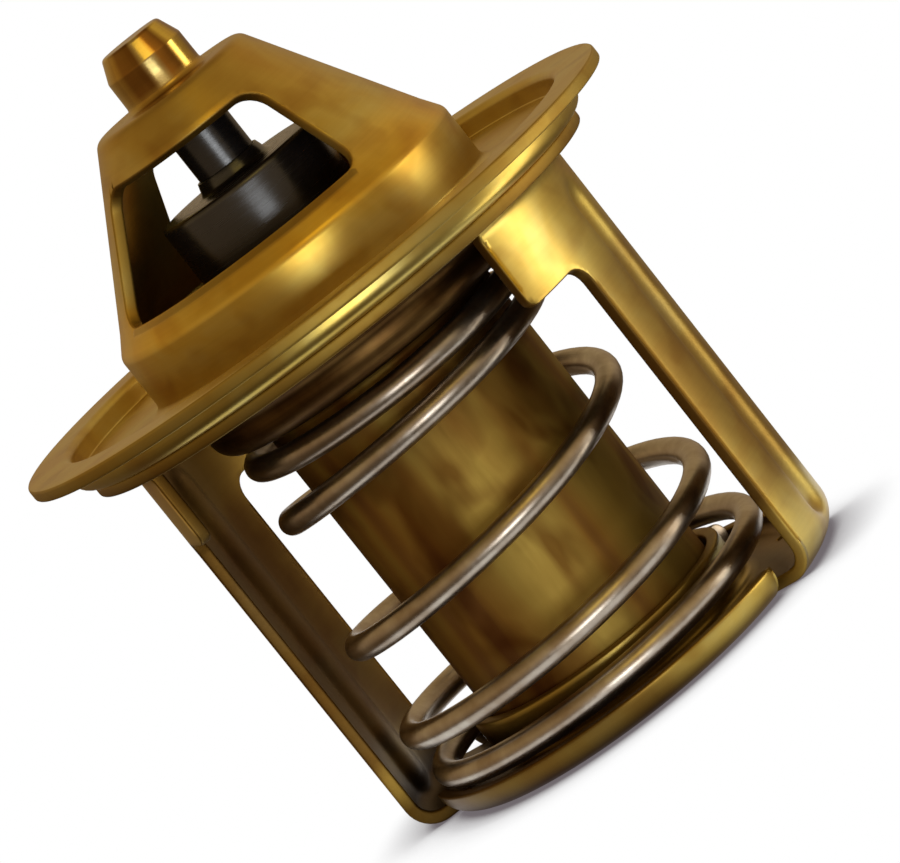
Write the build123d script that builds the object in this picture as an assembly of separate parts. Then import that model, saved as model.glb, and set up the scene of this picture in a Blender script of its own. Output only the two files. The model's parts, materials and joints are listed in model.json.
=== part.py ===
"""Wax-pellet engine thermostat: pressed brass housing and frame, sprung poppet valve, wax element.

Millimetres, +Z up. The origin is on the flow axis, in the plane of the spring tray's underside.
The two arms of the housing and the two legs of the frame lie on the X axis, with the flow windows
between them on the Y axis. The valve is closed. It opens by sliding down with the wax element.
"""

import os
from math import cos, radians, sin

from build123d import *

# ---- Driving dimensions ------------------------------------------------------------------------

# Pressed sheets
HOUSING_SHEET = 1.0
FRAME_SHEET = 1.0
VALVE_SHEET = 0.9
CASE_WALL = 0.9

# Housing: flange, neck, cone, crown and nipple, as radii and heights of the upper surface
FLANGE_RADIUS = 27.0
LIP_RISE = 1.8
NECK_HEIGHT = 4.9
SILL_STEP = 1.1
CONE_BASE_HEIGHT = 6.5
CROWN_RADIUS = 6.75
CROWN_HEIGHT = 18.9
NIPPLE_RADIUS = 3.35
NIPPLE_LENGTH = 2.8
NIPPLE_TIP_RADIUS = 2.6
NIPPLE_TIP_LENGTH = 1.8
NIPPLE_TIP_EDGE = 0.3
LIP_BEND = 0.5
FLOOR_BEND = 0.7
NECK_BEND = 1.0
SILL_BEND = 0.9
CROWN_BEND = 1.1
NIPPLE_BEND = 0.6

# Housing windows
WINDOW_HALF_ANGLE = 53.0
WINDOW_SILL = 6.8
WINDOW_HEAD = 15.7
WINDOW_CORNER = 1.8

# Frame: ring under the flange, shoulders, legs and tray
RING_HEIGHT = 36.2
RING_WIDTH = 2.9
RING_INSET = 0.1
LEG_RADIUS = 20.1
LEG_HALF_ANGLE = 19.5
SHOULDER_HALF_ANGLE = 38.5
SHOULDER_DROP = 7.1
SHOULDER_CORNER = 1.6
RING_BEND = 1.2
FOOT_BEND = 2.5
TRAY_INSET = 2.7
TRAY_HEIGHT = 2.3
TRAY_BEND = 1.9
NOTCH_HALF_ANGLE = 22.5
NOTCH_DEPTH = 2.4
COLLAR_HEIGHT = 4.9
COLLAR_BEND = 1.7

# Swage pressed inwards along the middle of each leg
SWAGE_RADIUS = 2.3
SWAGE_DEPTH = 0.8
SWAGE_BOTTOM = 3.6
SWAGE_TOP_BELOW_RING = 4.5

# Poppet valve
VALVE_DEPTH = 4.15
VALVE_RIM_WIDTH = 3.2
VALVE_FLOOR_BEND = 1.7
VALVE_RIM_BEND = 1.2
SEAL_WIDTH = 2.2
SEAL_THICKNESS = 0.85
SEAL_GAP = 0.05
SEAL_INSET = 0.15

# Wax element
CASE_RADIUS = 10.4
CASE_FLOOR_HEIGHT = 0.6
CASE_CORNER = 1.8
CRIMP_WIDTH = 2.8
GUIDE_SHOULDER_THICKNESS = 3.4
GUIDE_NECK_RADIUS = 6.0
BACKUP_RING_THICKNESS = 0.8
SPOOL_FLANGE_THICKNESS = 2.2
SPOOL_STEM_RADIUS = 5.2
SPOOL_FLOOR_ABOVE_CASE = 7.4
SPOOL_END_WALL = 2.2
RETAINER_RADIUS = 8.2
RETAINER_THICKNESS = 1.2
BOOT_RADIUS = 7.05
BOOT_HEIGHT = 14.6
BOOT_CROWN = 1.3
BOOT_EDGE = 0.5
BOOT_LIP_HEIGHT = 1.1
BOOT_LIP_WALL = 0.2
BOOT_LIP_FLARE = 0.35

# Piston rod, held in the nipple
PISTON_RADIUS = 2.5
PISTON_TIP_LENGTH = 3.0
PISTON_TIP_RADIUS = 1.3
PISTON_TIP_GAP = 0.4
NIPPLE_BORE_DEPTH = 2.7

# Main spring. Each row is a turn down from the start angle, the share of the fitted height that is
# left there, and how far the coil has widened from the case towards the tray's rim.
WIRE_RADIUS = 1.07
SPRING_START_ANGLE = -71.0
SPRING_ROWS = (
    (-0.30, 1.000, 0.00),
    (0.50, 0.945, 0.06),
    (1.00, 0.873, 0.13),
    (2.00, 0.522, 0.40),
    (3.00, 0.215, 0.86),
    (3.50, 0.118, 0.96),
    (4.00, 0.048, 0.98),
    (4.66, 0.000, 0.98),
)
SPRING_POINTS_PER_TURN = 10

# Clearances
RUNNING_FIT = 0.07
SEATED_FIT = 0.03
CASE_IN_COLLAR = 0.4
VALVE_IN_NECK = 0.25
VALVE_IN_LEGS = 0.9
COIL_AROUND_CASE = 0.83
COIL_IN_TRAY = 0.05
SPRING_SEAT_GAP = 0.08

# ---- Derived heights and radii -----------------------------------------------------------------

FLOOR_UNDERSIDE = RING_HEIGHT + FRAME_SHEET
FLOOR_TOP = FLOOR_UNDERSIDE + HOUSING_SHEET
LIP_TOP = FLOOR_TOP + LIP_RISE
RING_INNER_RADIUS = LEG_RADIUS - FRAME_SHEET / 2
RING_OUTER_RADIUS = LEG_RADIUS + RING_WIDTH
LIP_INNER_RADIUS = RING_OUTER_RADIUS + RING_INSET
TRAY_RADIUS = LEG_RADIUS - TRAY_INSET
VALVE_RIM_RADIUS = LEG_RADIUS - FRAME_SHEET - SWAGE_DEPTH - VALVE_IN_LEGS
VALVE_WALL_RADIUS = VALVE_RIM_RADIUS - VALVE_RIM_WIDTH
NECK_RADIUS = VALVE_WALL_RADIUS + VALVE_IN_NECK + HOUSING_SHEET
CONE_BASE_RADIUS = NECK_RADIUS - SILL_STEP
CROWN_TOP = FLOOR_TOP + CROWN_HEIGHT
NIPPLE_TOP = CROWN_TOP + NIPPLE_LENGTH + NIPPLE_TIP_LENGTH
COLLAR_BORE_RADIUS = CASE_RADIUS + CASE_IN_COLLAR
SEAL_TOP = FLOOR_UNDERSIDE - SEAL_GAP
VALVE_RIM_UNDERSIDE = SEAL_TOP - SEAL_THICKNESS - VALVE_SHEET
VALVE_UNDERSIDE = VALVE_RIM_UNDERSIDE - VALVE_DEPTH + VALVE_SHEET
VALVE_FLOOR = VALVE_UNDERSIDE + VALVE_SHEET
CASE_TOP = VALVE_UNDERSIDE
CASE_BORE_RADIUS = CASE_RADIUS - CASE_WALL
GUIDE_SHOULDER_TOP = CASE_TOP - CASE_WALL
GUIDE_SHOULDER_UNDERSIDE = GUIDE_SHOULDER_TOP - GUIDE_SHOULDER_THICKNESS
BACKUP_UNDERSIDE = GUIDE_SHOULDER_UNDERSIDE - BACKUP_RING_THICKNESS
SPOOL_UNDERSIDE = BACKUP_UNDERSIDE - SPOOL_FLANGE_THICKNESS
CASE_FLOOR = CASE_FLOOR_HEIGHT + CASE_WALL
SPOOL_END = CASE_FLOOR + SPOOL_FLOOR_ABOVE_CASE
PACKED_RADIUS = CASE_BORE_RADIUS - SEATED_FIT
ROD_BORE_RADIUS = PISTON_RADIUS + RUNNING_FIT
BOOT_BOTTOM = VALVE_FLOOR + RETAINER_THICKNESS
BOOT_TOP = BOOT_BOTTOM + BOOT_HEIGHT
GUIDE_TOP = BOOT_TOP - BOOT_CROWN
PISTON_BOTTOM = SPOOL_END + SPOOL_END_WALL + PISTON_TIP_GAP
PISTON_TOP = CROWN_TOP + NIPPLE_BORE_DEPTH - SEATED_FIT
FRAME_FLOOR = FRAME_SHEET
SPRING_BOTTOM = FRAME_FLOOR + WIRE_RADIUS + SPRING_SEAT_GAP
SPRING_TOP = VALVE_UNDERSIDE - WIRE_RADIUS - SPRING_SEAT_GAP
SPRING_TOP_RADIUS = CASE_RADIUS + WIRE_RADIUS + COIL_AROUND_CASE
SPRING_BOTTOM_RADIUS = TRAY_RADIUS - FRAME_SHEET - WIRE_RADIUS - COIL_IN_TRAY
FAR = 2 * FLANGE_RADIUS


# ---- Construction helpers ----------------------------------------------------------------------


def turned(points):
    """Solid of revolution about Z from a closed outline of (radius, height) points."""
    with BuildPart() as built:
        with BuildSketch(Plane.XZ):
            with BuildLine():
                Polyline(*points, close=True)
            make_face()
        revolve(axis=Axis.Z)
    return built.part


def set_off(points, distance):
    """Corners of a bent line moved sideways, to the left of its direction."""
    corners = [Vector(*point) for point in points]
    runs = [(after - before).normalized() for before, after in zip(corners, corners[1:])]
    sides = [Vector(-run.Y, run.X) for run in runs]
    moved = [corners[0] + sides[0] * distance]
    for corner, side, next_side in zip(corners[1:-1], sides, sides[1:]):
        moved.append(corner + (side + next_side) * (distance / (1 + side.dot(next_side))))
    moved.append(corners[-1] + sides[-1] * distance)
    return [(corner.X, corner.Y) for corner in moved]


def turns_left(points):
    """For each inner corner of a bent line, whether the line turns to its left there."""
    corners = [Vector(*point) for point in points]
    runs = [after - before for before, after in zip(corners, corners[1:])]
    return [run.cross(next_run).Z > 0 for run, next_run in zip(runs, runs[1:])]


def pressed(points, bends, sheet):
    """Revolved sheet: a bent line of (radius, height) points, thickened to its left."""
    far_bends = [
        max(bend - sheet, 0) if left else bend + sheet
        for bend, left in zip(bends, turns_left(points))
    ]
    outline = [*points, *reversed(set_off(points, sheet))]
    radii = [0, *bends, 0, 0, *reversed(far_bends), 0]
    with BuildPart() as built:
        with BuildSketch(Plane.XZ):
            with BuildLine():
                FilletPolyline(*outline, radius=radii, close=True)
            make_face()
        revolve(axis=Axis.Z)
    return built.part


def sector(inner, outer, bottom, top, middle, half_angle):
    """Block between two radii and two heights, spread to each side of a middle direction."""
    profile = Face.make_rect(outer - inner, top - bottom, Plane.XZ)
    profile = Pos((inner + outer) / 2, 0, (bottom + top) / 2) * profile
    block = revolve(profile, axis=Axis.Z, revolution_arc=2 * half_angle)
    return Rot(0, 0, middle - half_angle) * block


def radial_edges(block):
    """Edges of a sector block that run straight out from the axis."""
    return [edge for edge in block.edges().filter_by(GeomType.LINE) if abs(edge.tangent_at(0).Z) < 0.5]


def capsule(radius, centre, bottom, top):
    """Round-ended rod standing at a distance from the axis along +X."""
    rod = Pos(centre, 0, (bottom + top) / 2) * Cylinder(radius, top - bottom)
    ends = [Pos(centre, 0, height) * Sphere(radius) for height in (bottom, top)]
    return rod + ends


def eased(rows, turn):
    """Second and third columns of the rows, read smoothly at a value of the first."""
    last = len(rows) - 2
    index = min(max(sum(row[0] <= turn for row in rows) - 1, 0), last)
    start, end = rows[index], rows[index + 1]
    span = end[0] - start[0]
    share = (turn - start[0]) / span
    values = []
    for column in (1, 2):
        slopes = []
        for row in (index, index + 1):
            before = rows[max(row - 1, 0)]
            after = rows[min(row + 1, last + 1)]
            slopes.append((after[column] - before[column]) / (after[0] - before[0]))
        rise = end[column] - start[column]
        curve = (3 - 2 * share) * share**2 * rise
        ease_out = (1 - share) ** 2 * share * slopes[0] * span
        ease_in = (share - 1) * share**2 * slopes[1] * span
        values.append(start[column] + curve + ease_out + ease_in)
    return values


# ---- Housing and frame -------------------------------------------------------------------------


def upper_housing():
    """Flange, neck, windowed cone and closed nipple, pressed from one disc of sheet."""
    surface = (
        (FLANGE_RADIUS, LIP_TOP),
        (LIP_INNER_RADIUS, LIP_TOP),
        (LIP_INNER_RADIUS, FLOOR_TOP),
        (NECK_RADIUS, FLOOR_TOP),
        (NECK_RADIUS, FLOOR_TOP + NECK_HEIGHT),
        (CONE_BASE_RADIUS, FLOOR_TOP + CONE_BASE_HEIGHT),
        (CROWN_RADIUS, CROWN_TOP),
        (NIPPLE_RADIUS, CROWN_TOP),
        (NIPPLE_RADIUS, CROWN_TOP + NIPPLE_LENGTH),
    )
    bends = (LIP_BEND, FLOOR_BEND, FLOOR_BEND, NECK_BEND, SILL_BEND, CROWN_BEND, NIPPLE_BEND)
    shell = pressed(surface, bends, HOUSING_SHEET)
    tip_shoulder = CROWN_TOP + NIPPLE_LENGTH
    nipple = turned(
        (
            (0, CROWN_TOP - HOUSING_SHEET),
            (NIPPLE_RADIUS, CROWN_TOP - HOUSING_SHEET),
            (NIPPLE_RADIUS, tip_shoulder),
            (NIPPLE_TIP_RADIUS, NIPPLE_TOP),
            (0, NIPPLE_TOP),
        )
    )
    nipple = fillet(nipple.edges().filter_by(GeomType.CIRCLE).sort_by(Axis.Z)[-1], NIPPLE_TIP_EDGE)
    bore_radius = PISTON_RADIUS + SEATED_FIT
    bore_top = CROWN_TOP + NIPPLE_BORE_DEPTH
    bore = turned(
        (
            (0, CROWN_TOP - FLANGE_RADIUS),
            (bore_radius, CROWN_TOP - FLANGE_RADIUS),
            (bore_radius, bore_top),
            (0, bore_top),
        )
    )
    housing = shell + nipple - bore
    for middle in (-90, 90):
        window = sector(
            NIPPLE_RADIUS,
            FLANGE_RADIUS,
            FLOOR_TOP + WINDOW_SILL,
            FLOOR_TOP + WINDOW_HEAD,
            middle,
            WINDOW_HALF_ANGLE,
        )
        housing -= fillet(radial_edges(window), WINDOW_CORNER)
    return housing


def side_opening(middle):
    """Space cut between the two legs on one side: wide below, narrower between the shoulders."""
    shoulder_bottom = RING_HEIGHT - SHOULDER_DROP
    lower = sector(
        COLLAR_BORE_RADIUS, FAR, FRAME_FLOOR, shoulder_bottom, middle, 90 - LEG_HALF_ANGLE
    )
    corners = [edge for edge in radial_edges(lower) if edge.center().Z > shoulder_bottom - FRAME_SHEET]
    lower = fillet(corners, SHOULDER_CORNER)
    upper = sector(
        COLLAR_BORE_RADIUS,
        FAR,
        FRAME_FLOOR,
        FLOOR_UNDERSIDE + FRAME_SHEET,
        middle,
        90 - SHOULDER_HALF_ANGLE,
    )
    foot = sector(0, FAR, -FRAME_SHEET, FRAME_FLOOR + FOOT_BEND, middle, 90 - LEG_HALF_ANGLE)
    return lower + upper + foot


def lower_frame():
    """Ring, two legs and dished spring tray with its guide collar, drawn from one blank."""
    strip = pressed(
        (
            (COLLAR_BORE_RADIUS + COLLAR_BEND, 0),
            (LEG_RADIUS, 0),
            (LEG_RADIUS, RING_HEIGHT),
            ((LEG_RADIUS + RING_BEND + RING_OUTER_RADIUS) / 2, RING_HEIGHT),
        ),
        (FOOT_BEND, RING_BEND),
        FRAME_SHEET,
    )
    for middle in (-90, 90):
        strip -= side_opening(middle)
    ring = turned(
        (
            (RING_INNER_RADIUS, RING_HEIGHT),
            (RING_OUTER_RADIUS, RING_HEIGHT),
            (RING_OUTER_RADIUS, FLOOR_UNDERSIDE),
            (RING_INNER_RADIUS, FLOOR_UNDERSIDE),
        )
    )
    tray = pressed(
        (
            (COLLAR_BORE_RADIUS, COLLAR_HEIGHT),
            (COLLAR_BORE_RADIUS, 0),
            (TRAY_RADIUS, 0),
            (TRAY_RADIUS, TRAY_HEIGHT),
        ),
        (COLLAR_BEND, TRAY_BEND),
        FRAME_SHEET,
    )
    swage_centre = LEG_RADIUS - SWAGE_DEPTH + SWAGE_RADIUS
    swage_top = RING_HEIGHT - SWAGE_TOP_BELOW_RING
    inside_leg = Pos(0, 0, RING_HEIGHT / 2) * Cylinder(RING_INNER_RADIUS, RING_HEIGHT)
    for middle in (0, 180):
        turn = Rot(0, 0, middle)
        tray -= sector(
            TRAY_RADIUS - NOTCH_DEPTH, FAR, -FRAME_SHEET, COLLAR_HEIGHT, middle, NOTCH_HALF_ANGLE
        )
        rib = capsule(SWAGE_RADIUS + FRAME_SHEET, swage_centre, SWAGE_BOTTOM, swage_top)
        groove = capsule(SWAGE_RADIUS, swage_centre, SWAGE_BOTTOM, swage_top)
        strip += turn * (rib & inside_leg)
        strip -= turn * groove
    return strip + ring + tray


# ---- Valve and spring --------------------------------------------------------------------------


def main_valve():
    """Dished poppet with a flat rim. The case hangs from its floor."""
    return pressed(
        (
            (GUIDE_NECK_RADIUS + SEATED_FIT, VALVE_UNDERSIDE),
            (VALVE_WALL_RADIUS, VALVE_UNDERSIDE),
            (VALVE_WALL_RADIUS, VALVE_RIM_UNDERSIDE),
            (VALVE_RIM_RADIUS, VALVE_RIM_UNDERSIDE),
        ),
        (VALVE_FLOOR_BEND, VALVE_RIM_BEND),
        VALVE_SHEET,
    )


def valve_seal():
    """Flat rubber ring bonded to the valve's rim, which closes on the underside of the housing."""
    outer = VALVE_RIM_RADIUS - SEAL_INSET
    rim_top = VALVE_RIM_UNDERSIDE + VALVE_SHEET
    return turned(
        (
            (outer - SEAL_WIDTH, rim_top),
            (outer, rim_top),
            (outer, SEAL_TOP),
            (outer - SEAL_WIDTH, SEAL_TOP),
        )
    )


def main_spring():
    """Open right-handed coil of round wire that widens towards the tray, with closed ends."""
    first, final = SPRING_ROWS[0][0], SPRING_ROWS[-1][0]
    count = round((final - first) * SPRING_POINTS_PER_TURN)
    points = []
    for step in range(count + 1):
        turn = first + (final - first) * step / count
        left, widened = eased(SPRING_ROWS, turn)
        height = SPRING_BOTTOM + (SPRING_TOP - SPRING_BOTTOM) * left
        radius = SPRING_TOP_RADIUS + (SPRING_BOTTOM_RADIUS - SPRING_TOP_RADIUS) * widened
        angle = radians(SPRING_START_ANGLE - 360 * turn)
        points.append((radius * cos(angle), radius * sin(angle), height))
    wire = Spline(*points)
    section = Plane(origin=wire @ 0, z_dir=wire % 0) * Circle(WIRE_RADIUS)
    return sweep(section, path=wire, is_frenet=False)


# ---- Wax element and piston --------------------------------------------------------------------


def element_case():
    """Drawn cup that holds the wax, with its mouth crimped over the guide's shoulder."""
    crimp_radius = CASE_RADIUS - CRIMP_WIDTH
    cup = turned(
        (
            (0, CASE_FLOOR_HEIGHT),
            (CASE_RADIUS, CASE_FLOOR_HEIGHT),
            (CASE_RADIUS, CASE_TOP),
            (crimp_radius, CASE_TOP),
            (crimp_radius, GUIDE_SHOULDER_TOP),
            (CASE_BORE_RADIUS, GUIDE_SHOULDER_TOP),
            (CASE_BORE_RADIUS, CASE_FLOOR),
            (0, CASE_FLOOR),
        )
    )
    rounds = cup.edges().filter_by(GeomType.CIRCLE).sort_by(Axis.Z)[0]
    return fillet(rounds, CASE_CORNER)


def wax_charge():
    """Wax that fills the case around the spool's stem and swells as it melts."""
    stem = SPOOL_STEM_RADIUS + SEATED_FIT
    bottom = CASE_FLOOR + SEATED_FIT
    top = SPOOL_UNDERSIDE - SEATED_FIT
    cavity_end = SPOOL_END - SEATED_FIT
    return turned(
        (
            (0, bottom),
            (PACKED_RADIUS - CASE_CORNER, bottom),
            (PACKED_RADIUS, bottom + CASE_CORNER),
            (PACKED_RADIUS, top),
            (stem, top),
            (stem, cavity_end),
            (0, cavity_end),
        )
    )


def seal_spool():
    """Rubber spool that the swelling wax squeezes on to the piston's tip."""
    bore_end = SPOOL_END + SPOOL_END_WALL
    return turned(
        (
            (0, SPOOL_END),
            (SPOOL_STEM_RADIUS, SPOOL_END),
            (SPOOL_STEM_RADIUS, SPOOL_UNDERSIDE),
            (PACKED_RADIUS, SPOOL_UNDERSIDE),
            (PACKED_RADIUS, BACKUP_UNDERSIDE - SEATED_FIT),
            (ROD_BORE_RADIUS, BACKUP_UNDERSIDE - SEATED_FIT),
            (ROD_BORE_RADIUS, bore_end + PISTON_TIP_LENGTH),
            (PISTON_TIP_RADIUS + RUNNING_FIT, bore_end),
            (0, bore_end),
        )
    )


def washer(inner, outer, bottom, top):
    """Plain ring between two radii and two heights."""
    return turned(((inner, bottom), (outer, bottom), (outer, top), (inner, top)))


def guide_member():
    """Turned brass guide: a shoulder held by the crimp and a neck that carries the valve."""
    return turned(
        (
            (ROD_BORE_RADIUS, GUIDE_SHOULDER_UNDERSIDE),
            (PACKED_RADIUS, GUIDE_SHOULDER_UNDERSIDE),
            (PACKED_RADIUS, GUIDE_SHOULDER_TOP - SEATED_FIT),
            (GUIDE_NECK_RADIUS, GUIDE_SHOULDER_TOP - SEATED_FIT),
            (GUIDE_NECK_RADIUS, GUIDE_TOP - SEATED_FIT),
            (ROD_BORE_RADIUS, GUIDE_TOP - SEATED_FIT),
        )
    )


def guide_boot():
    """Moulded black cap over the guide's neck, with a flared lip that wipes the piston."""
    inner = GUIDE_NECK_RADIUS + SEATED_FIT
    lip_radius = ROD_BORE_RADIUS + BOOT_LIP_WALL
    cap = turned(
        (
            (inner, BOOT_BOTTOM + SEATED_FIT),
            (BOOT_RADIUS, BOOT_BOTTOM + SEATED_FIT),
            (BOOT_RADIUS, BOOT_TOP),
            (lip_radius + BOOT_LIP_FLARE, BOOT_TOP),
            (lip_radius, BOOT_TOP + BOOT_LIP_HEIGHT),
            (ROD_BORE_RADIUS, BOOT_TOP + BOOT_LIP_HEIGHT),
            (ROD_BORE_RADIUS, GUIDE_TOP),
            (inner, GUIDE_TOP),
        )
    )
    rounds = cap.edges().filter_by(GeomType.CIRCLE).sort_by(SortBy.RADIUS)
    return fillet(rounds.filter_by_position(Axis.Z, BOOT_TOP, BOOT_TOP)[-1], BOOT_EDGE)


def piston():
    """Rod with a tapered tip in the spool and its upper end seated in the nipple."""
    return turned(
        (
            (0, PISTON_BOTTOM),
            (PISTON_TIP_RADIUS, PISTON_BOTTOM),
            (PISTON_RADIUS, PISTON_BOTTOM + PISTON_TIP_LENGTH),
            (PISTON_RADIUS, PISTON_TOP),
            (0, PISTON_TOP),
        )
    )


def main():
    nodes = {
        "upper_housing": upper_housing(),
        "lower_frame": lower_frame(),
        "main_spring": main_spring(),
        "main_valve": main_valve(),
        "valve_seal": valve_seal(),
        "element_case": element_case(),
        "wax_charge": wax_charge(),
        "seal_spool": seal_spool(),
        "backup_ring": washer(
            ROD_BORE_RADIUS, PACKED_RADIUS, BACKUP_UNDERSIDE, GUIDE_SHOULDER_UNDERSIDE - SEATED_FIT
        ),
        "guide_member": guide_member(),
        "valve_retainer": washer(
            GUIDE_NECK_RADIUS + SEATED_FIT, RETAINER_RADIUS, VALVE_FLOOR, BOOT_BOTTOM
        ),
        "guide_boot": guide_boot(),
        "piston": piston(),
    }
    os.makedirs("parts", exist_ok=True)
    for name, solid in nodes.items():
        export_step(solid, f"parts/{name}.step")


main()
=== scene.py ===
"""Wax-pellet thermostat on a white ground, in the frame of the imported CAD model.

Metres in the scene. The meshes are worked out in millimetres, as (radius, height) lines turned
about the Z axis, and scaled when they are made.
"""

import json
from bisect import bisect_right
from math import atan2, ceil, cos, hypot, pi, radians, sin, sqrt, tan

import bpy
from mathutils import Matrix, Quaternion, Vector


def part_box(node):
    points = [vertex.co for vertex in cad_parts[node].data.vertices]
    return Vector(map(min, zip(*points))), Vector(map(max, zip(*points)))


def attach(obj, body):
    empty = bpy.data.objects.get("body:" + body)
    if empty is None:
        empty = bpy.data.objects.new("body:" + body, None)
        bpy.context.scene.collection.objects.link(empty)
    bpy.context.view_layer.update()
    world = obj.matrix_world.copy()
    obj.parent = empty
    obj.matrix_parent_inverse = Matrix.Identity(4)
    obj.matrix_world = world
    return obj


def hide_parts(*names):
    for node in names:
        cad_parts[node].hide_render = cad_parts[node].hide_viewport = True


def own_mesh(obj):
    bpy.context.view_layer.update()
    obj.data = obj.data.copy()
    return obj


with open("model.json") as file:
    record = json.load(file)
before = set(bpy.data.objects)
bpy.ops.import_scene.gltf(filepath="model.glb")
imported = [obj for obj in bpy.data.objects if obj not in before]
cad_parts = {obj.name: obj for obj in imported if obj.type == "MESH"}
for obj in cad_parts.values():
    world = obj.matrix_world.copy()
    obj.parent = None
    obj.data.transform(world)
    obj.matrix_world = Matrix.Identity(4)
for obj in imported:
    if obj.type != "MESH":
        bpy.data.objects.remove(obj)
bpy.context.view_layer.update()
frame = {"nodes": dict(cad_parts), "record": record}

MM = 0.001


def size_mm(node):
    """Largest radius, lowest height and highest height of a CAD node, in millimetres."""
    low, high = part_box(node)
    return high.x / MM, low.z / MM, high.z / MM


# ---- Lines and grids -----------------------------------------------------------------------------

TIGHT_BEND = 0.1  # Least radius of a bend on either face of a sheet
SNAP_REACH = 0.56  # Share of a grid cell within which a point moves to the cut
LEAST_SLOPE = 0.2  # Keeps that move short where the distance hardly changes
RUN_LENGTH = 2.5  # Longest straight part of a turned outline
# Share across the thickness and share of the edge's depth, from one face to the other
EDGE_ROUNDING = ((0.03, 0.5), (0.10, 0.86), (0.22, 1.0), (0.78, 1.0), (0.90, 0.86), (0.97, 0.5))


def set_off(points, distance):
    """Corners of a bent line moved sideways, to the left of its direction."""
    corners = [Vector(point) for point in points]
    runs = [(after - before).normalized() for before, after in zip(corners, corners[1:])]
    sides = [Vector((-run.y, run.x)) for run in runs]
    moved = [corners[0] + sides[0] * distance]
    for corner, side, next_side in zip(corners[1:-1], sides, sides[1:]):
        moved.append(corner + (side + next_side) * (distance / (1 + side.dot(next_side))))
    moved.append(corners[-1] + sides[-1] * distance)
    return moved


def turn_at(before, corner, after):
    """Signed angle that a line turns through at a corner, positive to the left."""
    arriving, leaving = corner - before, after - corner
    return atan2(arriving.x * leaving.y - arriving.y * leaving.x, arriving.dot(leaving))


def rounded(points, bends, parts, steps):
    """Line with each inner corner rounded and each straight run cut into parts."""
    corners = [Vector(point) for point in points]
    line = []
    start = corners[0]
    for index, corner in enumerate(corners[1:-1]):
        turn = turn_at(corners[index], corner, corners[index + 2])
        along = (corner - corners[index]).normalized()
        entry = corner - along * bends[index] * tan(abs(turn) / 2)
        side = Vector((-along.y, along.x)) * (bends[index] if turn > 0 else -bends[index])
        line += [start.lerp(entry, part / parts[index]) for part in range(parts[index])]
        line += [
            entry + side - Matrix.Rotation(turn * step / steps, 2) @ side for step in range(steps)
        ]
        start = entry + side - Matrix.Rotation(turn, 2) @ side
    line += [start.lerp(corners[-1], part / parts[-1]) for part in range(parts[-1] + 1)]
    return line


def sheet_rows(points, bends, sheet, parts, steps=7):
    """Pairs of points on the two faces of a bent sheet, the drawn face first."""
    corners = [Vector(point) for point in points]
    far_bends = []
    for index, bend in enumerate(bends):
        left = turn_at(*corners[index : index + 3]) > 0
        far_bends.append(max(bend - sheet, TIGHT_BEND) if left else bend + sheet)
    near = rounded(points, bends, parts, steps)
    far = rounded(set_off(points, sheet), far_bends, parts, steps)
    return list(zip(near, far))


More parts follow.
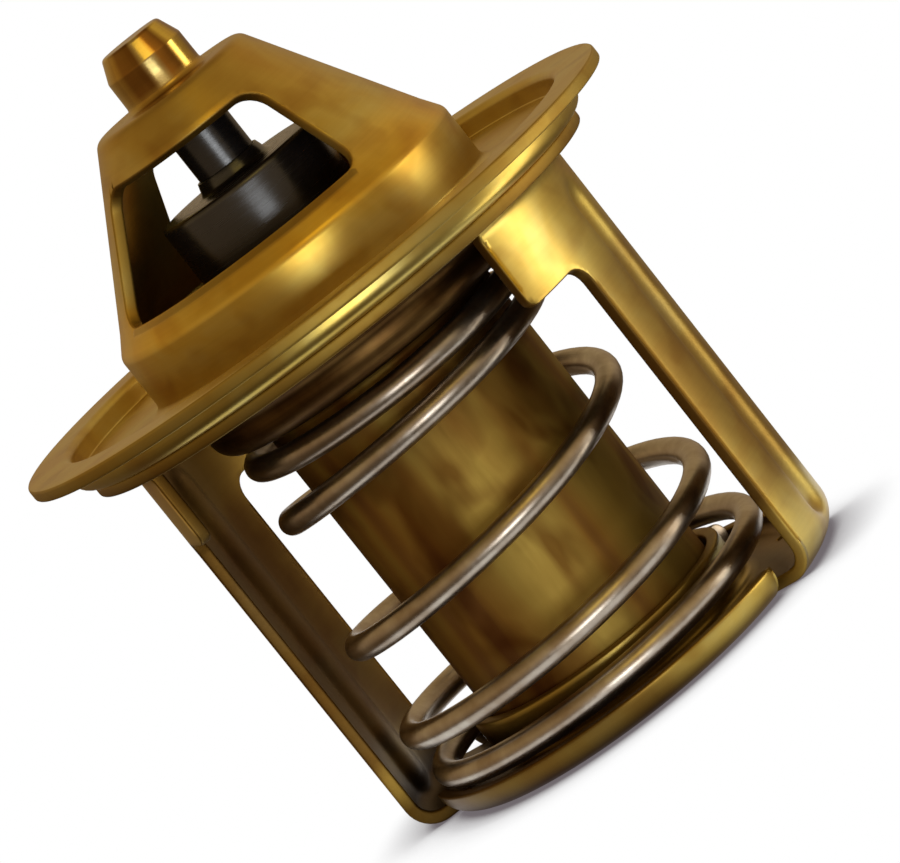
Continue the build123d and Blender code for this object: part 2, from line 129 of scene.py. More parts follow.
class Sheet:
    """Bent sheet built up from grids that may share rows, then given its faces and cut edges."""

    def __init__(self):
        self.places = []
        self.cells = []

    def grid(self, angles, rows, distance=None, first=None, last=None, shift=None):
        """Adds a grid right round the axis. distance(angle, row) in mm is above 0 where sheet stays."""
        lengths = [0.0]
        for (near, _), (next_near, _) in zip(rows, rows[1:]):
            lengths.append(lengths[-1] + (next_near - near).length)
        count = len(angles)
        kept, ring = {}, {}
        for row in range(len(rows)):
            for step, angle in enumerate(angles):
                place, stays = (angle, float(row)), True
                if distance is not None:
                    place, stays = self.snapped(place, step, angles, rows, lengths, distance)
                kept[step, row] = stays
                shared = first if row == 0 else last if row == len(rows) - 1 else None
                if shared:
                    ring[step, row] = shared[step]
                    if stays:
                        self.places[shared[step]] = self.pair(place, rows, shift)
                else:
                    ring[step, row] = len(self.places)
                    self.places.append(self.pair(place, rows, shift))
        for row in range(len(rows) - 1):
            for step in range(count):
                after = (step + 1) % count
                corners = [(step, row), (after, row), (after, row + 1), (step, row + 1)]
                cell = [ring[corner] for corner in corners if kept[corner]]
                if len(cell) > 2:
                    self.cells.append(cell)
        return [[ring[step, row] for step in range(count)] for row in (0, len(rows) - 1)]

    @staticmethod
    def snapped(place, step, angles, rows, lengths, distance):
        """Moves a grid point that lies near the cut to the cut, and says whether it stays."""
        angle, row = place
        index = int(row)
        radius = max(rows[index][0].x, 1.0)
        wide = max(
            (angles[(step + 1) % len(angles)] - angle) % (2 * pi),
            (angle - angles[step - 1]) % (2 * pi),
        )
        last = len(rows) - 1
        ahead = lengths[min(index + 1, last)] - lengths[index]
        behind = lengths[index] - lengths[max(index - 1, 0)]
        gap = distance(angle, row)
        if abs(gap) > SNAP_REACH * max(radius * wide, ahead, behind):
            return place, gap > 0
        small = 0.02
        across = (distance(angle + small / radius, row) - gap) / small
        probe = small if index < last else -small
        along = (distance(angle, row_at(lengths, lengths[index] + probe)) - gap) / probe
        steep = max(across**2 + along**2, LEAST_SLOPE)
        angle -= gap * across / steep / radius
        return (angle, row_at(lengths, lengths[index] - gap * along / steep)), True

    @staticmethod
    def pair(place, rows, shift):
        """The two face points at an angle and a row, which may lie between two rows."""
        angle, row = place
        index = min(int(row), len(rows) - 2)
        points = []
        for face in (0, 1):
            spot = rows[index][face].lerp(rows[index + 1][face], row - index)
            radius = spot.x - (shift(angle, spot, face) if shift else 0)
            points.append(Vector((radius * cos(angle), radius * sin(angle), spot.y)))
        return points

    def mesh(self, name, edge):
        """Makes the object: both faces, and a softened edge of that depth round every cut.

        The points of the cuts and those of the second face are marked for the materials.
        """
        used = sorted({corner for cell in self.cells for corner in cell})
        place = {old: new for new, old in enumerate(used)}
        count = len(used)
        points = [self.places[old][0] for old in used] + [self.places[old][1] for old in used]
        faces, rims = [], {}
        for cell in self.cells:
            near = [place[corner] for corner in cell]
            faces.append(near)
            faces.append([corner + count for corner in reversed(near)])
            for start, end in zip(near, near[1:] + near[:1]):
                if (end, start) in rims:
                    del rims[end, start]
                else:
                    rims[start, end] = True
        outward = {}
        for start, end in rims:
            run = points[end] - points[start]
            for corner in (start, end):
                normal = (points[corner] - points[corner + count]).normalized()
                outward[corner] = outward.get(corner, Vector()) + run.cross(normal)
        rim_points = {}
        for corner, away in outward.items():
            near, far = points[corner], points[corner + count]
            away = away.normalized() * edge
            rim_points[corner] = [corner]
            for across, out in EDGE_ROUNDING:
                rim_points[corner].append(len(points))
                points.append(near.lerp(far, across) + away * out)
            rim_points[corner].append(corner + count)
        for start, end in rims:
            for (a, b), (c, d) in zip(
                zip(rim_points[start], rim_points[end]),
                zip(rim_points[start][1:], rim_points[end][1:]),
            ):
                faces.append([b, a, c, d])
        made = solid(name, points, faces)
        for mark, first, end in (("cut", 2 * count, len(points)), ("second_face", count, 2 * count)):
            values = [float(first <= index < end) for index in range(len(points))]
            made.data.attributes.new(mark, "FLOAT", "POINT").data.foreach_set("value", values)
        return made


def row_at(lengths, length):
    """Row, which may lie between two rows, at a length along them."""
    if length <= 0:
        return 0.0
    if length >= lengths[-1]:
        return float(len(lengths) - 1)
    index = bisect_right(lengths, length) - 1
    return index + (length - lengths[index]) / (lengths[index + 1] - lengths[index])


def solid(name, points, faces):
    """Smooth-shaded mesh object from points in millimetres."""
    mesh = bpy.data.meshes.new(name)
    mesh.from_pydata([point * MM for point in points], [], faces)
    mesh.validate()
    mesh.polygons.foreach_set("use_smooth", [True] * len(mesh.polygons))
    made = bpy.data.objects.new(name, mesh)
    bpy.context.scene.collection.objects.link(made)
    return made


def drawn_spot(rows, row):
    """Point of the drawn face at a row, which may lie between two rows."""
    index = min(int(row), len(rows) - 2)
    return rows[index][0].lerp(rows[index + 1][0], row - index)


def even_angles(count):
    """That many directions, evenly round the axis."""
    return [2 * pi * step / count for step in range(count)]


def joined_rings(pairs, count):
    """Faces between rings of that many points each, from pairs of ring numbers."""
    faces = []
    for ring, following in pairs:
        base, above = ring * count, following * count
        for step in range(count):
            after = (step + 1) % count
            faces.append([base + step, base + after, above + after, above + step])
    return faces


def lathe(name, corners, count=192, steps=6):
    """Solid of revolution. corners are (radius, height, rounding); both ends lie on the axis."""
    points = [corner[:2] for corner in corners]
    parts = []
    for before, after in zip(points, points[1:]):
        length = hypot(after[0] - before[0], after[1] - before[1])
        parts.append(max(1, ceil(length / RUN_LENGTH)))
    line = rounded(points, [corner[2] for corner in corners[1:-1]], parts, steps)
    rings = line[1:-1]
    made = [Vector((p.x * cos(a), p.x * sin(a), p.y)) for p in rings for a in even_angles(count)]
    faces = joined_rings([(ring, ring + 1) for ring in range(len(rings) - 1)], count)
    bottom, top = len(made), len(made) + 1
    made += [Vector((0, 0, line[0].y)), Vector((0, 0, line[-1].y))]
    final = (len(rings) - 1) * count
    for step in range(count):
        after = (step + 1) % count
        faces.append([bottom, after, step])
        faces.append([top, final + step, final + after])
    return solid(name, made, faces)


def turned_ring(name, outline, count, steps=6):
    """Solid of revolution that stays clear of the axis. outline is (radius, height, rounding)."""
    around = [outline[-1], *outline, outline[0], outline[1]]
    bends = [corner[2] for corner in around[1:-1]]
    run = 2
    line = rounded([corner[:2] for corner in around], bends, [run] * (len(around) - 1), steps)
    loop = line[run : run + len(outline) * (steps + run)]
    points = [Vector((p.x * cos(a), p.x * sin(a), p.y)) for p in loop for a in even_angles(count)]
    pairs = [(ring, (ring + 1) % len(loop)) for ring in range(len(loop))]
    return solid(name, points, joined_rings(pairs, count))


def hole(angle_in, height_in, corner):
    """Signed distance to a rounded opening, from the distances inside its sides and its ends."""
    across, along = corner - angle_in, corner - height_in
    return hypot(max(across, 0), max(along, 0)) + min(max(across, along), 0) - corner


def from_middle(angle, middle):
    """Size of the angle between two directions."""
    return abs((angle - middle + pi) % (2 * pi) - pi)


# ---- Housing -------------------------------------------------------------------------------------

EDGE = 0.16  # Depth of the softened edge round a cut
SHEET = 1.0  # Thickness of both pressings
WINDOW_DIRECTIONS = (pi / 2, -pi / 2)

flange_radius, _, nipple_top = size_mm("upper_housing")
FLOOR_TOP = 38.2
LIP_TOP = 40.0
LIP_INNER_RADIUS = 23.1
NECK_RADIUS, NECK_TOP = 15.45, FLOOR_TOP + 4.9
CONE_BASE_RADIUS, CONE_BASE = 14.35, FLOOR_TOP + 6.5
CROWN_RADIUS, CROWN_TOP = 6.75, 57.1
HOUSING_BENDS = (0.6, 0.15, 0.8, 1.1, 0.9, 1.1)
NIPPLE_RADIUS, NIPPLE_FOOT_RADIUS, NIPPLE_TIP_RADIUS = 3.35, 4.3, 2.6
NIPPLE_SHOULDER = CROWN_TOP + 2.8
WINDOW_HALF_ANGLE = radians(53)
WINDOW_SILL, WINDOW_HEAD, WINDOW_CORNER = 45.0, 53.9, 1.8
CONE_SLANT = 1.17  # Length along the cone for each millimetre of height


def make_housing():
    """The flange, neck, cone and crown as one sheet, and the nipple on top of it."""
    housing = Sheet()
    surface = (
        (flange_radius - EDGE, LIP_TOP),
        (LIP_INNER_RADIUS, LIP_TOP),
        (LIP_INNER_RADIUS, FLOOR_TOP),
        (NECK_RADIUS, FLOOR_TOP),
        (NECK_RADIUS, NECK_TOP),
        (CONE_BASE_RADIUS, CONE_BASE),
        (CROWN_RADIUS, CROWN_TOP),
        (NIPPLE_FOOT_RADIUS, CROWN_TOP),
    )
    rows = sheet_rows(surface, HOUSING_BENDS, SHEET, (4, 2, 8, 6, 3, 34, 2), steps=8)

    def away_from_windows(angle, row):
        spot = drawn_spot(rows, row)
        ends = min(spot.y - WINDOW_SILL, WINDOW_HEAD - spot.y) * CONE_SLANT
        gaps = []
        for middle in WINDOW_DIRECTIONS:
            side = spot.x * (WINDOW_HALF_ANGLE - from_middle(angle, middle))
            gaps.append(hole(side, ends, WINDOW_CORNER))
        return min(gaps) - EDGE

    housing.grid(even_angles(300), rows, away_from_windows)
    shell = housing.mesh("housing_shell", EDGE)
    # A hidden plug under the nipple fills the hole in the crown
    plug_radius, plug_bottom = NIPPLE_FOOT_RADIUS + 0.06, CROWN_TOP - 0.99
    nipple = lathe(
        "housing_nipple",
        (
            (0, plug_bottom, 0),
            (plug_radius, plug_bottom, 0.05),
            (plug_radius, CROWN_TOP, 0.05),
            (NIPPLE_RADIUS + 0.03, CROWN_TOP, 0.55),
            (NIPPLE_RADIUS, NIPPLE_SHOULDER, 0.5),
            (NIPPLE_TIP_RADIUS, nipple_top, 0.4),
            (0, nipple_top, 0),
        ),
        count=160,
        steps=7,
    )
    return shell, nipple


# ---- Frame ---------------------------------------------------------------------------------------

frame_radius, _, _ = size_mm("lower_frame")
LEG_DIRECTIONS = (0.0, pi)
LEG_RADIUS = 20.1
LEG_HALF_ANGLE = radians(19.5)
RING_HEIGHT = 36.2
RING_START = (21.31, RING_HEIGHT)
SHOULDER_HALF_ANGLE = radians(38.5)
SHOULDER_BOTTOM = RING_HEIGHT - 7.1
SHOULDER_CORNER = 0.9
SHOULDER_FILLET = 1.6
LEDGE_RADIUS = 20.5  # Middle of the strip inside the ring, between the shoulders
LEG_BENDS = (2.5, 1.2)
COLLAR_RADIUS, COLLAR_TOP, COLLAR_BEND = 10.8, 4.9, 1.7
TRAY_RADIUS, TRAY_RIM_TOP, TRAY_BEND = 17.4, 2.3, 1.9
NOTCH_RADIUS = 15.0
NOTCH_HALF_ANGLE = radians(22.5)
SWAGE_BOTTOM, SWAGE_TOP = 3.6, 31.7
SWAGED_FROM, SWAGED_TO = 0.5, 35.5  # Nothing is pressed in outside these heights
# Radius of the groove's round section and how far its centre stands off, for either face
SWAGE_SECTIONS = ((2.8, 2.2), (3.8, 3.2))
SWAGE_SOFTNESS = 0.26
SWAGE_FADE = 0.4


def frame_angles():
    """Directions round the frame, closer together across the legs and their shoulders."""
    half, fine, coarse = radians(42), 112, 44
    angles = []
    for middle in LEG_DIRECTIONS:
        angles += [middle - half + 2 * half * step / fine for step in range(fine)]
        rest = pi - 2 * half
        angles += [middle + half + rest * step / coarse for step in range(coarse)]
    return [angle % (2 * pi) for angle in angles]


def from_legs(angle):
    """Size of the angle to the middle of the nearest leg."""
    return min(from_middle(angle, middle) for middle in LEG_DIRECTIONS)


def swage(angle, spot, face):
    """How far the groove down a leg's middle is pressed in, at a point of the sheet."""
    if not SWAGED_FROM < spot.y < SWAGED_TO or spot.x < NOTCH_RADIUS:
        return 0.0
    across = spot.x * sin(from_legs(angle))
    beyond = max(SWAGE_BOTTOM - spot.y, spot.y - SWAGE_TOP, 0)
    away = hypot(across, beyond)
    radius, stand_off = SWAGE_SECTIONS[face]
    if away >= radius:
        return 0.0
    sunk = sqrt(radius**2 - away**2) - stand_off
    softened = (sunk + sqrt(sunk**2 + SWAGE_SOFTNESS**2)) / 2
    return softened * min(1.0, (radius - away) / SWAGE_FADE)


def inside_leg(angle, spot):
    """Signed distance inside the outline of a leg with its shoulders, at a point of the sheet."""
    narrow = spot.x * (LEG_HALF_ANGLE - from_legs(angle))
    wide = spot.x * (SHOULDER_HALF_ANGLE - from_legs(angle))
    above = spot.y - SHOULDER_BOTTOM
    if wide < SHOULDER_CORNER and above < SHOULDER_CORNER:
        shoulder = SHOULDER_CORNER - hypot(SHOULDER_CORNER - wide, SHOULDER_CORNER - above)
    else:
        shoulder = min(wide, above)
    if narrow > -SHOULDER_FILLET and shoulder > -SHOULDER_FILLET:
        return hypot(narrow + SHOULDER_FILLET, shoulder + SHOULDER_FILLET) - SHOULDER_FILLET
    return max(narrow, shoulder)


def make_frame():
    """The tray with its collar and rim, the two legs and the ring under the flange, as one sheet."""
    lower = Sheet()
    angles = frame_angles()

    floor_line = ((COLLAR_RADIUS, COLLAR_TOP - EDGE), (COLLAR_RADIUS, 0), (NOTCH_RADIUS, 0))
    floor = sheet_rows(floor_line, (COLLAR_BEND,), SHEET, (8, 5))
    floor_end = lower.grid(angles, floor)[1]

    rim_line = ((NOTCH_RADIUS, 0), (TRAY_RADIUS, 0), (TRAY_RADIUS, TRAY_RIM_TOP - EDGE))
    rim = sheet_rows(rim_line, (TRAY_BEND,), SHEET, (2, 2), steps=9)

    def outside_notches(angle, row):
        return drawn_spot(rim, row).x * (from_legs(angle) - NOTCH_HALF_ANGLE) - EDGE

    lower.grid(angles, rim, outside_notches, first=floor_end)

    ring = sheet_rows((RING_START, (frame_radius - EDGE, RING_HEIGHT)), (), SHEET, (5,), steps=1)
    ring_start = lower.grid(angles, ring)[0]

    leg_line = ((NOTCH_RADIUS, 0), (LEG_RADIUS, 0), (LEG_RADIUS, RING_HEIGHT), RING_START)
    leg = sheet_rows(leg_line, LEG_BENDS, SHEET, (6, 84, 1), steps=9)

    def on_leg(angle, row):
        return inside_leg(angle, drawn_spot(leg, row)) - EDGE

    lower.grid(angles, leg, on_leg, first=floor_end, last=ring_start, shift=swage)

    ledge_line = ((LEG_RADIUS - SHEET / 2 + EDGE, RING_HEIGHT), RING_START)
    ledge = sheet_rows(ledge_line, (), SHEET, (4,), steps=1)

    def between_shoulders(angle, _row):
        return LEDGE_RADIUS * (from_legs(angle) - SHOULDER_HALF_ANGLE) - 2 * EDGE

    lower.grid(angles, ledge, between_shoulders, last=ring_start)
    return lower.mesh("frame_legs_and_tray", EDGE)


# ---- Spring, valve, element and piston -----------------------------------------------------------

WIRE_RADIUS = 1.07
SPRING_START = radians(-71)
# Turns down from the start, height and radius of the coil's centre line
SPRING_COURSE = (
    (-0.30, 31.0, 12.35),
    (0.00, 30.35, 12.35),
    (0.25, 30.4, 12.4),
    (0.50, 29.8, 12.5),
    (1.00, 27.35, 12.75),
    (1.25, 25.5, 12.85),
    (1.75, 20.0, 13.1),
    (2.00, 17.2, 13.7),
    (2.25, 14.8, 14.6),
    (2.75, 10.35, 14.4),
    (3.00, 8.35, 15.0),
    (3.25, 6.9, 15.3),
    (3.50, 5.6, 15.3),
    (3.75, 4.5, 15.2),
    (4.00, 3.6, 15.05),
    (4.25, 3.1, 14.95),
    (4.66, 2.6, 14.85),
)
SPRING_TOP, SPRING_HEIGHT = 31.0, 29.0
SPRING_LEAN = 0.7  # How far the coil's foot stands to the side of its top
LEAN_DIRECTION = radians(-161)
# Distance from the wire's end and share of the wire's radius there
WIRE_END = ((0.0, 0.86), (0.05, 0.96), (0.14, 1.0))


def eased(rows, value):
    """Other columns of the rows, read smoothly at a value of the first."""
    last = len(rows) - 2
    index = min(max(sum(row[0] <= value for row in rows) - 1, 0), last)
    start, end = rows[index], rows[index + 1]
    span = end[0] - start[0]
    share = (value - start[0]) / span
    values = []
    for column in range(1, len(rows[0])):
        slopes = []
        for row in (index, index + 1):
            before, after = rows[max(row - 1, 0)], rows[min(row + 1, last + 1)]
            slopes.append((after[column] - before[column]) / (after[0] - before[0]))
        curve = (3 - 2 * share) * share**2 * (end[column] - start[column])
        ease_out = (1 - share) ** 2 * share * slopes[0] * span
        ease_in = (share - 1) * share**2 * slopes[1] * span
        values.append(start[column] + curve + ease_out + ease_in)
    return values


def spring_point(turn):
    """Point of the coil's centre line, that many turns down from the start."""
    height, radius = eased(SPRING_COURSE, turn)
    angle = SPRING_START - 2 * pi * turn
    lean = SPRING_LEAN * (SPRING_TOP - height) / SPRING_HEIGHT
    x = radius * cos(angle) + lean * cos(LEAN_DIRECTION)
    y = radius * sin(angle) + lean * sin(LEAN_DIRECTION)
    return Vector((x, y, height))


def make_spring():
    """The round wire swept along the coil's centre line, with a softened edge at either end."""
    around, per_turn, small = 28, 72, 0.002
    first, final = SPRING_COURSE[0][0], SPRING_COURSE[-1][0]
    count = round((final - first) * per_turn)
    stations = [(first, inset, scale) for inset, scale in WIRE_END]
    stations += [(first + (final - first) * step / count, 0.0, 1.0) for step in range(1, count)]
    stations += [(final, -inset, scale) for inset, scale in reversed(WIRE_END)]
    points = []
    for turn, inset, scale in stations:
        ahead = (spring_point(turn + small) - spring_point(turn - small)).normalized()
        centre = spring_point(turn) + ahead * inset
        side = Vector((centre.x, centre.y, 0)).normalized()
        side = (side - ahead * side.dot(ahead)).normalized()
        up = ahead.cross(side)
        for angle in even_angles(around):
            points.append(centre + (side * cos(angle) + up * sin(angle)) * WIRE_RADIUS * scale)
    final_ring = len(stations) - 1
    faces = joined_rings([(ring, ring + 1) for ring in range(final_ring)], around)
    faces.append(list(reversed(range(around))))
    faces.append([final_ring * around + step for step in range(around)])
    return solid("spring_coil", points, faces)


VALVE_SHEET = 0.9
VALVE_HOLE_RADIUS, VALVE_WALL_RADIUS, VALVE_RADIUS = 6.1, 14.2, 17.4
VALVE_FLOOR, VALVE_RIM = 32.15, 35.4
VALVE_BENDS = (1.7, 1.2)


def make_valve():
    """The dish above the spring, as one sheet with a hole in the middle."""
    valve = Sheet()
    line = (
        (VALVE_HOLE_RADIUS + EDGE, VALVE_FLOOR),
        (VALVE_WALL_RADIUS, VALVE_FLOOR),
        (VALVE_WALL_RADIUS, VALVE_RIM),
        (VALVE_RADIUS - EDGE, VALVE_RIM),
    )
    valve.grid(even_angles(192), sheet_rows(line, VALVE_BENDS, VALVE_SHEET, (6, 3, 5), steps=9))
    return valve.mesh("valve_dish", EDGE)


CASE_WALL = 0.9
CASE_LIP = 2.8  # How far the cup's top comes in over its mouth


def make_case():
    """The cup that holds the wax, open at the top inside its lip."""
    radius, bottom, top = size_mm("element_case")
    corners = (
        (0, bottom, 0),
        (radius, bottom, 1.8),
        (radius, top, 0.7),
        (radius - CASE_LIP, top, 0.15),
        (radius - CASE_LIP, top - CASE_WALL, 0.1),
        (radius - CASE_WALL, top - CASE_WALL, 0.2),
        (radius - CASE_WALL, bottom + CASE_WALL, 1.0),
        (0, bottom + CASE_WALL, 0),
    )
    return lathe("element_cup", corners, count=160)


BOOT_TOP = 48.85
BOOT_END_THICKNESS = 1.3
BOOT_BORE_RADIUS, ROD_HOLE_RADIUS = 6.03, 2.57
BOOT_LIP_HEIGHT = 1.1
BOOT_LIP_FOOT_RADIUS, BOOT_LIP_RADIUS = 3.1, 2.74


def make_boot():
    """The black cylinder, with a small lip round the rod."""
    radius, bottom, _ = size_mm("guide_boot")
    inner_top = BOOT_TOP - BOOT_END_THICKNESS
    lip_top = BOOT_TOP + BOOT_LIP_HEIGHT
    outline = (
        (BOOT_BORE_RADIUS, inner_top, 0.05),
        (BOOT_BORE_RADIUS, bottom, 0.05),
        (radius, bottom, 0.15),
        (radius, BOOT_TOP, 0.5),
        (BOOT_LIP_FOOT_RADIUS, BOOT_TOP, 0.5),
        (BOOT_LIP_RADIUS, lip_top, 0.07),
        (ROD_HOLE_RADIUS, lip_top, 0.05),
        (ROD_HOLE_RADIUS, inner_top, 0.05),
    )
    return turned_ring("boot_cap", outline, 144)


ROD_TIP_RADIUS, ROD_TIP_LENGTH = 1.3, 3.0


def make_piston():
    """The rod, tapered at its lower tip."""
    radius, bottom, top = size_mm("piston")
    corners = (
        (0, bottom, 0),
        (ROD_TIP_RADIUS, bottom, 0.3),
        (radius, bottom + ROD_TIP_LENGTH, 1.0),
        (radius, top, 0.3),
        (0, top, 0),
    )
    return lathe("piston_rod", corners, count=96)


# ---- Materials -----------------------------------------------------------------------------------


def set_stops(ramp, stops):
    """Gives a colour ramp its stops, as (position, colour) or (position, grey)."""
    elements = ramp.color_ramp.elements
    while len(elements) < len(stops):
        elements.new(0.5)
    for element, (position, colour) in zip(elements, stops):
        element.position = position
        element.color = (*colour, 1) if isinstance(colour, tuple) else (colour,) * 3 + (1,)


class Finish:
    """A Principled material whose colour, roughness and relief come from textures in millimetres."""

    def __init__(self, name, metallic=1.0):
        self.material = bpy.data.materials.new(name)
        self.material.use_nodes = True
        self.tree = self.material.node_tree
        self.shader = self.tree.nodes["Principled BSDF"]
        self.shader.inputs["Metallic"].default_value = metallic
        place = self.tree.nodes.new("ShaderNodeTexCoord")
        self.place = place.outputs["Object"]

    def stretched(self, scale):
        """Object position in millimetres times a scale for each axis."""
        node = self.tree.nodes.new("ShaderNodeMapping")
        node.inputs["Scale"].default_value = [value / MM for value in scale]
        self.tree.links.new(self.place, node.inputs["Vector"])
        return node.outputs["Vector"]

    def split(self):
        """Sockets of the object position's X, Y and Z."""
        node = self.tree.nodes.new("ShaderNodeSeparateXYZ")
        self.tree.links.new(self.place, node.inputs["Vector"])
        return node.outputs

    def radius(self):
        """Distance from the axis."""
        flat = self.tree.nodes.new("ShaderNodeVectorMath")
        flat.operation = "MULTIPLY"
        flat.inputs[1].default_value = (1, 1, 0)
        self.tree.links.new(self.place, flat.inputs[0])
        length = self.tree.nodes.new("ShaderNodeVectorMath")
        length.operation = "LENGTH"
        self.tree.links.new(flat.outputs["Vector"], length.inputs[0])
        return length.outputs["Value"]

    def angle(self):
        """Direction round the axis, from -pi to pi, with its seam on the -X side."""
        split = self.split()
        node = self.tree.nodes.new("ShaderNodeMath")
        node.operation = "ARCTAN2"
        self.tree.links.new(split["Y"], node.inputs[0])
        self.tree.links.new(split["X"], node.inputs[1])
        return node.outputs["Value"]

    def turned(self, radius_scale, height_scale, round_scale):
        """Scaled radius, height and angle, for marks that run round the axis or straight up."""
        joined = self.tree.nodes.new("ShaderNodeCombineXYZ")
        self.tree.links.new(self.radius(), joined.inputs["X"])
        self.tree.links.new(self.split()["Z"], joined.inputs["Y"])
        self.tree.links.new(self.angle(), joined.inputs["Z"])
        node = self.tree.nodes.new("ShaderNodeMapping")
        node.inputs["Scale"].default_value = (radius_scale / MM, height_scale / MM, round_scale)
        self.tree.links.new(joined.outputs["Vector"], node.inputs["Vector"])
        return node.outputs["Vector"]

    def share(self, value, start, end):
        """0 where a value is at the start, 1 where it is at the end, and straight in between."""
        node = self.tree.nodes.new("ShaderNodeMapRange")
        node.inputs["From Min"].default_value = start
        node.inputs["From Max"].default_value = end
        self.tree.links.new(value, node.inputs["Value"])
        return node.outputs["Result"]

    def share_along(self, axis, start, end):
        """0 at one place on an axis and 1 at another, given in millimetres."""
        return self.share(self.split()[axis], start * MM, end * MM)

    def share_out(self, start, end):
        """0 at one distance from the axis and 1 at another, given in millimetres."""
        return self.share(self.radius(), start * MM, end * MM)

    def share_round(self):
        """0 to 1 once round the axis, from the -X side."""
        return self.share(self.angle(), -pi, pi)

    def marked(self, mark):
        """1 on the parts of a sheet with that mark, else 0."""
        node = self.tree.nodes.new("ShaderNodeAttribute")
        node.attribute_name = mark
        return node.outputs["Fac"]

    def product(self, first, second):
        """Two shares multiplied."""
        node = self.tree.nodes.new("ShaderNodeMath")
        node.operation = "MULTIPLY"
        self.tree.links.new(first, node.inputs[0])
        self.tree.links.new(second, node.inputs[1])
        return node.outputs["Value"]

    def noise(self, vector, detail=3.0, distortion=0.0, roughness=0.55):
        """Noise round 0.5, whose coarsest marks are about one unit of the position across."""
        node = self.tree.nodes.new("ShaderNodeTexNoise")
        node.inputs["Scale"].default_value = 1.0
        node.inputs["Detail"].default_value = detail
        node.inputs["Distortion"].default_value = distortion
        node.inputs["Roughness"].default_value = roughness
        self.tree.links.new(vector, node.inputs["Vector"])
        return node.outputs["Fac"]

    def ramp(self, value, stops):
        """Colour or grey that follows a value. stops are (position, colour)."""
        node = self.tree.nodes.new("ShaderNodeValToRGB")
        set_stops(node, stops)
        self.tree.links.new(value, node.inputs["Fac"])
        return node.outputs["Color"]

    def blended(self, value, first, second, kind="MIX"):
        """Two colours mixed or multiplied, by a share that is a number or a socket."""
        node = self.tree.nodes.new("ShaderNodeMix")
        node.data_type = "RGBA"
        node.blend_type = kind
        if isinstance(value, float):
            node.inputs[0].default_value = value
        else:
            self.tree.links.new(value, node.inputs[0])
        self.tree.links.new(first, node.inputs[6])
        self.tree.links.new(second, node.inputs[7])
        return node.outputs[2]

    def times(self, tone, share, tint):
        """Tone multiplied by a tint, by that share."""
        return self.blended(share, tone, tint, "MULTIPLY")

    def tinted(self, tone, share, tint, level=None):
        """Tone multiplied by a constant tint, by that share and where the level is 1."""
        tints = self.ramp(share if level is None else level, ((0.0, 1.0), (1.0, tint)))
        return self.times(tone, share, tints)

    def colour(self, value):
        """Sets the surface's colour."""
        self.tree.links.new(value, self.shader.inputs["Base Color"])

    def roughness(self, value, low, high, changes=()):
        """Roughness between two limits, changed by an amount where each mask is 1."""
        node = self.tree.nodes.new("ShaderNodeMapRange")
        node.inputs["From Min"].default_value = 0.3
        node.inputs["From Max"].default_value = 0.7
        node.inputs["To Min"].default_value = low
        node.inputs["To Max"].default_value = high
        self.tree.links.new(value, node.inputs["Value"])
        rough = node.outputs["Result"]
        for mask, amount in changes:
            changed = self.tree.nodes.new("ShaderNodeMath")
            changed.operation = "MULTIPLY_ADD"
            changed.inputs[1].default_value = amount
            self.tree.links.new(mask, changed.inputs[0])
            self.tree.links.new(rough, changed.inputs[2])
            rough = changed.outputs["Value"]
        self.tree.links.new(rough, self.shader.inputs["Roughness"])

    def relief(self, value, depth_mm):
        """Fine relief of that depth."""
        node = self.tree.nodes.new("ShaderNodeBump")
        node.inputs["Distance"].default_value = depth_mm * MM
        node.inputs["Strength"].default_value = 1.0
        self.tree.links.new(value, node.inputs["Height"])
        self.tree.links.new(node.outputs["Normal"], self.shader.inputs["Normal"])


BRASS_TONES = (
    (0.34, (0.55, 0.365, 0.075)),
    (0.50, (0.60, 0.440, 0.100)),
    (0.64, (0.62, 0.490, 0.145)),
)
# Share of the way from the lip to 20 mm above it, and tint: a painted orange reflection on the sill,
# and darker towards the crown
TINTS_WITH_SILL_REFLECTION = (
    (0.06, (1.0, 1.0, 1.0)),
    (0.18, (1.22, 1.06, 0.62)),
    (0.28, (1.15, 1.03, 0.75)),
    (0.36, (1.0, 1.0, 1.0)),
    (0.75, (0.88, 0.82, 0.80)),
)
# Tints of the nipple's painted reflections; PALE is a painted highlight
DARK = (0.42, 0.28, 0.26)
PALE = (1.3, 1.5, 2.6)
YELLOW = (1.3, 1.4, 1.3)
ORANGE = (0.9, 0.6, 0.45)
# Share of a turn from the -X side, and tint of the nipple there: painted reflections, with PALE as a
# painted highlight
NIPPLE_REFLECTIONS = (
    (0.0, ORANGE), (0.05, PALE), (0.10, (0.95, 0.92, 0.85)), (0.165, (0.85, 0.75, 0.7)),
    (0.20, DARK), (0.272, DARK), (0.295, PALE), (0.330, PALE), (0.352, ORANGE), (0.395, DARK),
    (0.422, YELLOW), (0.465, YELLOW), (0.505, DARK), (0.60, ORANGE), (0.64, PALE),
    (0.72, DARK), (0.80, ORANGE), (0.86, YELLOW), (0.93, DARK), (1.0, ORANGE),
)
# Places in millimetres where a share starts and where it is full
NIPPLE_HEIGHTS = (57.2, 58.0)
NIPPLE_WALL_RADII = (2.0, 2.5)
# Painted shade: the tray darker towards its bottom
TRAY_HEIGHTS = (5.5, 2.4)
# Painted shade: the tray darker towards -X
TRAY_SHADE_ALONG_X = (6.0, 13.0)  # Along X
ABOVE_TRAY = (4.0, 7.0)
BELOW_SHOULDERS = (29.5, 27.0)
BELOW_FLANGE = (37.2, 36.0)
OUTSIDE_COLLAR = (11.9, 13.0)


